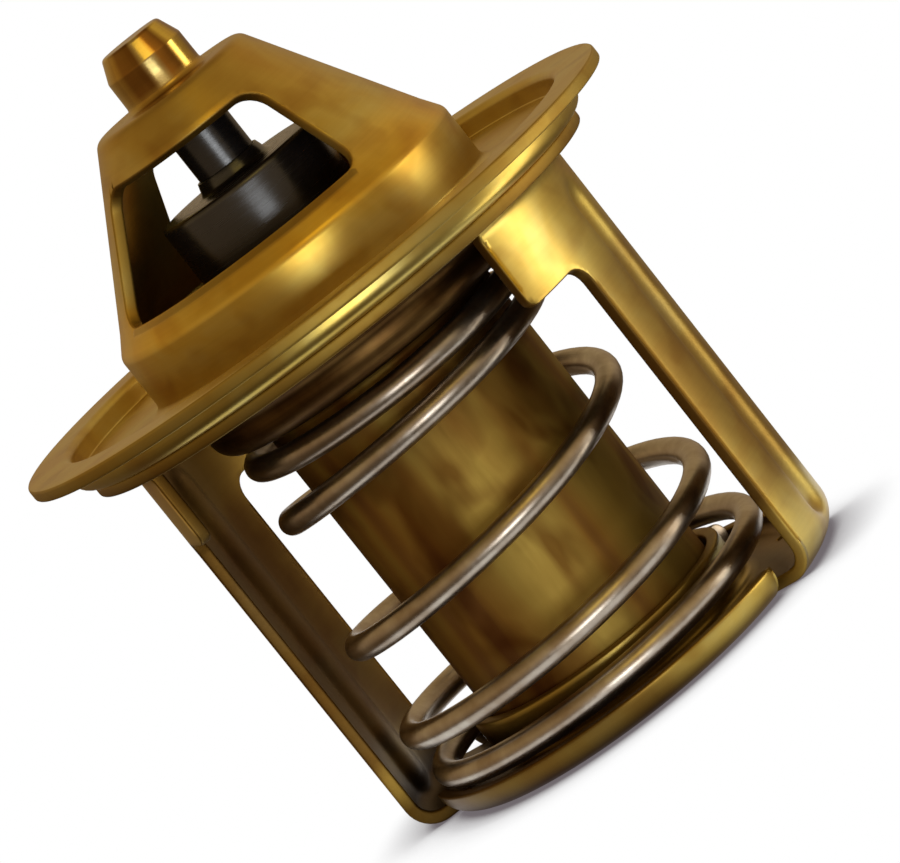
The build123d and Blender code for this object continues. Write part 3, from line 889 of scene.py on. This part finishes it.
def sheet_tone(finish, rings):
    """The sheet's tone: slow changes, smudges, faint rings, a painted orange reflection on the sill,
    and darker towards the crown.
    """
    slow = finish.noise(finish.stretched((0.13, 0.13, 0.13)), 3.0, 0.4)
    smudges = finish.noise(finish.stretched((0.26, 0.26, 0.34)), 1.5, 0.2)
    smudged = finish.ramp(smudges, ((0.30, (0.66, 0.52, 0.42)), (0.48, (1.0, 1.0, 1.0))))
    tone = finish.times(finish.ramp(slow, BRASS_TONES), 0.45, smudged)
    tone = finish.times(tone, 0.5, finish.ramp(rings, ((0.35, 0.92), (0.60, 1.0))))
    # Painted orange reflection on the sill, and darker towards the crown
    sill_reflection_tint = finish.ramp(finish.share_along("Z", LIP_TOP, LIP_TOP + 20.0), TINTS_WITH_SILL_REFLECTION)
    return finish.times(tone, 1.0, sill_reflection_tint)


def banded(finish, tone, nipple):
    """The tone with the nipple's random draw streaks and upright bands of painted reflection on its
    wall, which leave its flat top plain.
    """
    draws = finish.noise(finish.turned(0.0, 0.02, 2.6), 2.0)
    drawn = finish.ramp(draws, ((0.38, (0.60, 0.44, 0.32)), (0.50, (1.15, 1.15, 1.1)), (0.6, 1.3)))
    # Upright bands of painted reflection and painted highlight round the nipple
    reflections = finish.ramp(finish.share_round(), NIPPLE_REFLECTIONS)
    wall = finish.product(nipple, finish.share_out(*NIPPLE_WALL_RADII))
    return finish.blended(wall, tone, finish.times(finish.times(tone, 0.3, drawn), 0.9, reflections))


def pressed_brass():
    """Pressed brass: painted reflections banding the nipple, painted shade on the tray, the legs, their
    inner faces and their cut edges, and darker, rougher cut edges.
    """
    finish = Finish("pressed_brass")
    rings = finish.noise(finish.turned(4.0, 4.0, 1.0), 3.0)
    grain = finish.noise(finish.stretched((2.4, 2.4, 2.4)), 4.0)
    nipple = finish.share_along("Z", *NIPPLE_HEIGHTS)
    tone = banded(finish, sheet_tone(finish, rings), nipple)
    # Painted shade on the tray: darker towards -X and towards its bottom
    tray_shade = finish.ramp(
        finish.share_along("X", *TRAY_SHADE_ALONG_X),
        ((0.0, (0.24, 0.19, 0.16)), (1.0, (0.85, 0.80, 0.72))),
    )
    tone = finish.times(tone, finish.share_along("Z", *TRAY_HEIGHTS), tray_shade)
    above_tray = finish.share_along("Z", *ABOVE_TRAY)
    below_flange = finish.share_along("Z", *BELOW_FLANGE)
    # Painted shade: the legs darker between the tray and the shoulders
    legs = finish.product(above_tray, finish.share_along("Z", *BELOW_SHOULDERS))
    tone = finish.tinted(tone, legs, (0.80, 0.76, 0.84))
    second = finish.marked("second_face")
    outside_collar = finish.share_out(*OUTSIDE_COLLAR)
    # Painted shade on the inner faces below the flange, outside the collar
    inside = finish.product(finish.product(second, below_flange), outside_collar)
    tone = finish.tinted(tone, inside, (0.40, 0.34, 0.31), level=second)
    cut = finish.marked("cut")
    tone = finish.tinted(tone, cut, (0.68, 0.62, 0.54))
    # Painted shade on the cut edges of the legs, between the tray and the flange
    leg_edge = finish.product(finish.product(cut, below_flange), above_tray)
    finish.colour(finish.tinted(tone, leg_edge, (0.45, 0.38, 0.36), level=cut))
    finish.roughness(grain, 0.335, 0.365, ((cut, 0.18), (nipple, -0.17), (inside, 0.08)))
    finish.relief(rings, 0.0015)
    return finish.material


def streaked_brass():
    """The case's brown brass: upright streaks under dark stains."""
    finish = Finish("element_brass")
    streaks = finish.noise(finish.stretched((0.26, 0.26, 0.03)), 1.0, 0.2)
    stains = finish.noise(finish.stretched((0.20, 0.20, 0.12)), 2.0, 0.4)
    fine = finish.noise(finish.stretched((2.0, 2.0, 0.25)), 3.0)
    tone = finish.ramp(
        streaks,
        ((0.36, (0.23, 0.108, 0.030)), (0.46, (0.35, 0.198, 0.042)), (0.60, (0.40, 0.275, 0.060))),
    )
    stained = finish.ramp(stains, ((0.36, (0.45, 0.31, 0.26)), (0.54, (1.0, 1.0, 1.0))))
    finish.colour(finish.times(tone, 0.85, stained))
    finish.roughness(fine, 0.57, 0.63)
    finish.relief(fine, 0.004)
    return finish.material


def shade_darkened_brass():
    """The valve's brass, turned in fine rings, its base colour darkened as painted shade for its place
    under the flange.
    """
    finish = Finish("valve_brass")
    rings = finish.noise(finish.turned(3.0, 3.0, 1.5), 4.0)
    patches = finish.noise(finish.stretched((0.3, 0.3, 0.3)), 3.0)
    # Very dark base colour: painted shade under the flange
    tone = finish.ramp(patches, ((0.35, (0.085, 0.040, 0.012)), (0.65, (0.15, 0.082, 0.024))))
    finish.colour(finish.times(tone, 0.7, finish.ramp(rings, ((0.35, 0.7), (0.62, 1.0)))))
    finish.roughness(rings, 0.34, 0.46)
    finish.relief(rings, 0.015)
    return finish.material


def spring_steel():
    """Bare wire in slow patches of brown and grey."""
    finish = Finish("spring_steel")
    patches = finish.noise(finish.stretched((0.35, 0.35, 0.35)), 4.0)
    grain = finish.noise(finish.stretched((3.0, 3.0, 3.0)), 4.0)
    tone = finish.ramp(
        patches, ((0.35, (0.34, 0.27, 0.20)), (0.55, (0.44, 0.38, 0.31)), (0.7, (0.53, 0.48, 0.40)))
    )
    finish.colour(tone)
    finish.roughness(grain, 0.28, 0.36)
    finish.relief(grain, 0.002)
    return finish.material


def gloss_black(name, low, high):
    """Smooth black, faintly turned, with a roughness between two limits."""
    finish = Finish(name, metallic=0.0)
    finish.shader.inputs["Specular IOR Level"].default_value = 0.9
    patches = finish.noise(finish.stretched((0.4, 0.4, 0.4)), 4.0)
    grain = finish.noise(finish.turned(4.0, 4.0, 1.5), 3.0)
    finish.colour(
        finish.ramp(patches, ((0.35, (0.006, 0.005, 0.0048)), (0.65, (0.012, 0.010, 0.0095))))
    )
    finish.roughness(grain, low, high)
    finish.relief(grain, 0.003)
    return finish.material


def moulded(name, dark, light, rough):
    """Matt moulded stuff between two colours, for the seal and the pieces in the case."""
    finish = Finish(name, metallic=0.0)
    patches = finish.noise(finish.stretched((0.5, 0.5, 0.5)), 4.0)
    grain = finish.noise(finish.stretched((4.0, 4.0, 4.0)), 3.0)
    finish.colour(finish.ramp(patches, ((0.35, dark), (0.65, light))))
    finish.roughness(grain, rough - 0.08, rough + 0.08)
    finish.relief(grain, 0.03)
    return finish.material


# ---- Pieces on their bodies ----------------------------------------------------------------------

finishes = {
    "pressed_brass": pressed_brass(),
    "element_brass": streaked_brass(),
    "valve_brass": shade_darkened_brass(),
    "spring_steel": spring_steel(),
    "rod_black": gloss_black("rod_black", 0.24, 0.32),
    "boot_black": gloss_black("boot_black", 0.22, 0.30),
    "seal_rubber": moulded("seal_rubber", (0.015, 0.015, 0.015), (0.035, 0.034, 0.033), 0.6),
    "backup_white": moulded("backup_white", (0.70, 0.69, 0.65), (0.82, 0.81, 0.78), 0.5),
    "wax": moulded("wax", (0.50, 0.30, 0.14), (0.72, 0.48, 0.25), 0.55),
}


def fitted(piece, node, body, slot):
    """Gives a piece its finish and its body, and hides the CAD node that it stands for."""
    piece.data.materials.clear()
    piece.data.materials.append(finishes[slot])
    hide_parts(node)
    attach(piece, body)
    return piece


for part in make_housing():
    fitted(part, "upper_housing", "fixed_frame", "pressed_brass")
fitted(make_frame(), "lower_frame", "fixed_frame", "pressed_brass")
spring = fitted(make_spring(), "main_spring", "fixed_frame", "spring_steel")
fitted(make_piston(), "piston", "fixed_frame", "rod_black")
fitted(make_valve(), "main_valve", "element", "valve_brass")
fitted(make_case(), "element_case", "element", "element_brass")
fitted(make_boot(), "guide_boot", "element", "boot_black")

for subpart in frame["record"]["subparts"]:
    node = frame["nodes"][subpart["node"]]
    node.data.materials.clear()
    node.data.materials.append(finishes[subpart["material_slot"]])

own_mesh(spring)

# ---- Camera --------------------------------------------------------------------------------------

CAMERA_AZIMUTH = 19.0
CAMERA_ELEVATION = 8.4
CAMERA_DISTANCE = 400.0
CAMERA_ROLL = -38.4
AIM_HEIGHT = 23.4
AIM_RIGHT = 0.6
FOCAL_PIXELS = 5280
IMAGE_WIDTH = 900
SENSOR_WIDTH = 36


def direction(azimuth, elevation):
    """Unit vector from the object towards a place round it. Azimuth 0 is the -Y side."""
    turn, rise = radians(azimuth), radians(elevation)
    return Vector((sin(turn) * cos(rise), -cos(turn) * cos(rise), sin(rise)))


right = Vector((cos(radians(CAMERA_AZIMUTH)), sin(radians(CAMERA_AZIMUTH)), 0))
aim = (right * AIM_RIGHT + Vector((0, 0, AIM_HEIGHT))) * MM


def make_camera():
    """The photo's camera: a little above, far off and rolled."""
    data = bpy.data.cameras.new("camera")
    data.sensor_width = SENSOR_WIDTH
    data.lens = FOCAL_PIXELS * SENSOR_WIDTH / IMAGE_WIDTH
    data.clip_start = 0.01
    data.clip_end = 10
    camera = bpy.data.objects.new("camera", data)
    camera.location = aim + direction(CAMERA_AZIMUTH, CAMERA_ELEVATION) * CAMERA_DISTANCE * MM
    level = (aim - camera.location).to_track_quat("-Z", "Y")
    camera.rotation_mode = "QUATERNION"
    camera.rotation_quaternion = level @ Quaternion((0, 0, 1), radians(CAMERA_ROLL))
    bpy.context.scene.collection.objects.link(camera)
    bpy.context.scene.camera = camera


make_camera()

# ---- Ground, backdrop and light ------------------------------------------------------------------


def seen_by_rays(tree):
    """1 for camera, glossy and transmission rays, else 0."""
    paths = tree.nodes.new("ShaderNodeLightPath")
    seen = paths.outputs["Is Camera Ray"]
    for ray in ("Is Glossy Ray", "Is Transmission Ray"):
        either = tree.nodes.new("ShaderNodeMath")
        either.operation = "MAXIMUM"
        tree.links.new(seen, either.inputs[0])
        tree.links.new(paths.outputs[ray], either.inputs[1])
        seen = either.outputs["Value"]
    return seen


def white_ground(name, shadow_reach=0.0):
    """Pale surface that camera, glossy and transmission rays see as white, apart from its shadow."""
    material = bpy.data.materials.new(name)
    material.use_nodes = True
    tree = material.node_tree
    output = tree.nodes["Material Output"]
    shader = tree.nodes["Principled BSDF"]
    shader.inputs["Base Color"].default_value = (0.85, 0.82, 0.78, 1)
    shader.inputs["Roughness"].default_value = 0.9
    white = tree.nodes.new("ShaderNodeEmission")
    white.inputs["Color"].default_value = (1, 1, 1, 1)
    white.inputs["Strength"].default_value = 1.0
    if shadow_reach:
        open_sky = tree.nodes.new("ShaderNodeAmbientOcclusion")
        open_sky.inputs["Distance"].default_value = shadow_reach * MM
        open_sky.samples = 16
        shade = tree.nodes.new("ShaderNodeValToRGB")
        shade.color_ramp.elements[0].position = 0.30
        shade.color_ramp.elements[0].color = (0.16, 0.14, 0.15, 1)
        shade.color_ramp.elements[1].position = 0.93
        tree.links.new(open_sky.outputs["AO"], shade.inputs["Fac"])
        tree.links.new(shade.outputs["Color"], white.inputs["Color"])
    mixed = tree.nodes.new("ShaderNodeMixShader")
    tree.links.new(seen_by_rays(tree), mixed.inputs["Fac"])
    tree.links.new(shader.outputs["BSDF"], mixed.inputs[1])
    tree.links.new(white.outputs["Emission"], mixed.inputs[2])
    tree.links.new(mixed.outputs["Shader"], output.inputs["Surface"])
    return material


def disc(name, middle, first, second, radius, material):
    """Round stage piece, spanned by two directions."""
    count = 96
    points = [middle + (first * cos(a) + second * sin(a)) * radius for a in even_angles(count)]
    made = solid(name, points, [list(range(count))])
    made.data.materials.append(material)


FLOOR_RADIUS = 36.0
FLOOR_DROP = 0.02
SHADOW_REACH = 7.0
BACKDROP_RADIUS = 165.0
BACKDROP_DISTANCE = 900


def make_stage():
    """The white floor under the object and the white backdrop that faces the camera."""
    across, deep = Vector((1, 0, 0)), Vector((0, 1, 0))
    below = Vector((0, 0, -FLOOR_DROP))
    disc("floor", below, across, deep, FLOOR_RADIUS, white_ground("floor_white", SHADOW_REACH))
    away = -direction(CAMERA_AZIMUTH, CAMERA_ELEVATION)
    behind = aim / MM + away * BACKDROP_DISTANCE
    upward = right.cross(-away)
    disc("backdrop", behind, right, upward, BACKDROP_RADIUS, white_ground("backdrop_white"))


make_stage()


# From the world's bottom at -1 to its top at 1
ROOM_BY_HEIGHT = (
    (-1.0, (0.05, 0.038, 0.026)),
    (-0.22, (0.155, 0.110, 0.066)),
    (0.10, (0.42, 0.31, 0.19)),
    (0.45, (0.54, 0.40, 0.21)),
    (0.85, (0.32, 0.22, 0.10)),
    (1.0, (0.25, 0.17, 0.09)),
)
# From the camera's left at -1 to its right at 1
ROOM_BY_SIDE = (
    (-1.0, (0.90, 0.85, 0.79)),
    (0.1, (0.95, 0.93, 0.9)),
    (1.0, (1.15, 1.15, 1.15)),
)


def room():
    """Dim brown room: darkest below, brightest a little above level, and to the camera's right."""
    world = bpy.data.worlds.new("room")
    world.use_nodes = True
    tree = world.node_tree
    place = tree.nodes.new("ShaderNodeTexCoord").outputs["Generated"]

    def by_direction(towards, stops):
        dot = tree.nodes.new("ShaderNodeVectorMath")
        dot.operation = "DOT_PRODUCT"
        dot.inputs[1].default_value = towards
        tree.links.new(place, dot.inputs[0])
        spread = tree.nodes.new("ShaderNodeMapRange")
        spread.inputs["From Min"].default_value = -1.0
        tree.links.new(dot.outputs["Value"], spread.inputs["Value"])
        ramp = tree.nodes.new("ShaderNodeValToRGB")
        ramp.color_ramp.interpolation = "EASE"
        set_stops(ramp, [((position + 1) / 2, colour) for position, colour in stops])
        tree.links.new(spread.outputs["Result"], ramp.inputs["Fac"])
        return ramp.outputs["Color"]

    by_height = by_direction(Vector((0, 0, 1)), ROOM_BY_HEIGHT)
    by_side = by_direction(right, ROOM_BY_SIDE)
    both = tree.nodes.new("ShaderNodeMix")
    both.data_type = "RGBA"
    both.blend_type = "MULTIPLY"
    both.inputs[0].default_value = 1.0
    tree.links.new(by_height, both.inputs[6])
    tree.links.new(by_side, both.inputs[7])
    tree.links.new(both.outputs[2], tree.nodes["Background"].inputs["Color"])
    bpy.context.scene.world = world


room()


def lamp(name, turn, rise, distance, size, watts, colour):
    """Rectangular area lamp that faces the object, from a direction turned from the camera's."""
    data = bpy.data.lights.new(name, "AREA")
    data.shape = "RECTANGLE"
    data.size, data.size_y = size[0] * MM, size[1] * MM
    data.energy = watts
    data.color = colour
    made = bpy.data.objects.new(name, data)
    target = Vector((0, 0, AIM_HEIGHT * MM))
    made.location = target + direction(CAMERA_AZIMUTH + turn, rise) * distance * MM
    made.rotation_mode = "QUATERNION"
    made.rotation_quaternion = (target - made.location).to_track_quat("-Z", "Y")
    bpy.context.scene.collection.objects.link(made)


lamp("front", 4, -6, distance=330, size=(130, 100), watts=0.265, colour=(0.95, 1.0, 1.05))
lamp("ceiling", 18, 42, distance=330, size=(160, 110), watts=0.065, colour=(1.0, 0.72, 0.12))
lamp("window", 85, -16, distance=250, size=(84, 290), watts=0.30, colour=(1.0, 0.96, 0.86))

bpy.context.scene.view_settings.view_transform = "Standard"

bpy.context.view_layer.update()
